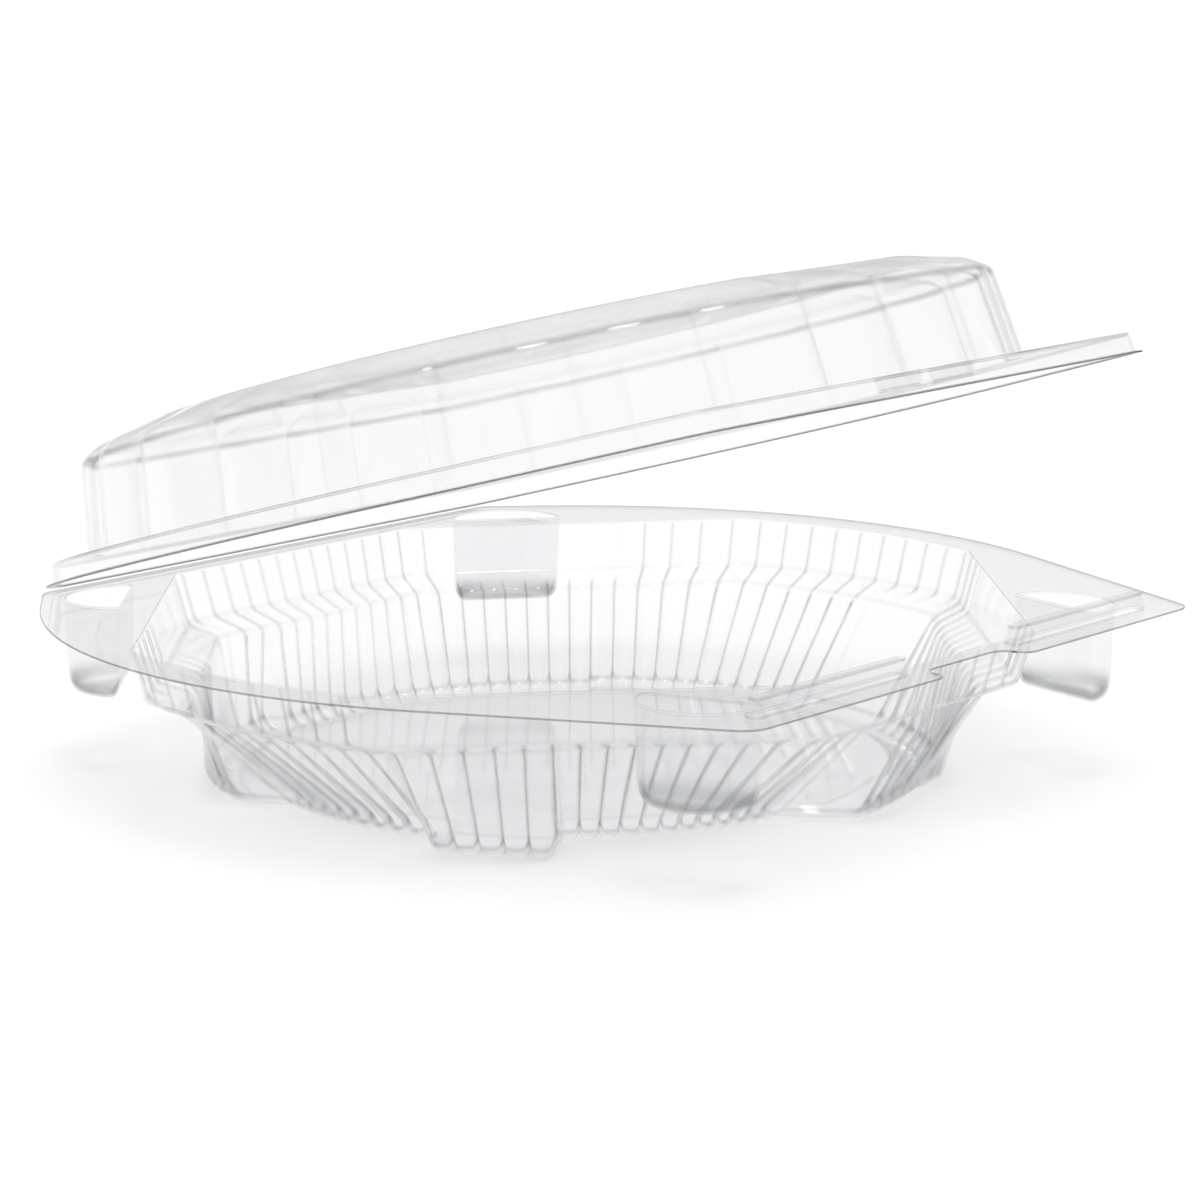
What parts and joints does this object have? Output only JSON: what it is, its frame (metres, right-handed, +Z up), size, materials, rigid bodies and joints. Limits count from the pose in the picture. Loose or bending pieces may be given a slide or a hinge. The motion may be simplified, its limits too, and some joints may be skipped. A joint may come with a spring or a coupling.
{
  "type": "plastic clamshell pack",
  "caption": "Clear hinged food pack: round ribbed bowl with a flat flange, cup pockets and front ears, and a fluted dome lid standing slightly open.",
  "frame": {"origin": "on the table under the middle of the outline seen from above", "axes": "+Z up, -Y towards the front edge with the finger notch, +X to the right along the fold at the back"},
  "size_m": [0.252, 0.219, 0.126],
  "materials": {
    "tray_plastic": "clear, glossy",
    "lid_plastic": "clear, glossy"
  },
  "bodies": {
    "tray_body": {"tray_flange": "tray_plastic", "tray_bowl": "tray_plastic", "pocket_front_left": "tray_plastic", "pocket_back_left": "tray_plastic", "pocket_front_right": "tray_plastic", "pocket_back_right": "tray_plastic"},
    "lid_body": {"lid": "lid_plastic"}
  },
  "joints": [
    {"name": "lid_fold", "type": "hinge", "parent": "tray_body", "child": "lid_body", "pos_m": [0, 0.1095, 0.04215], "axis": [-1, 0, 0], "range_deg": [-16, 164]}
  ]
}
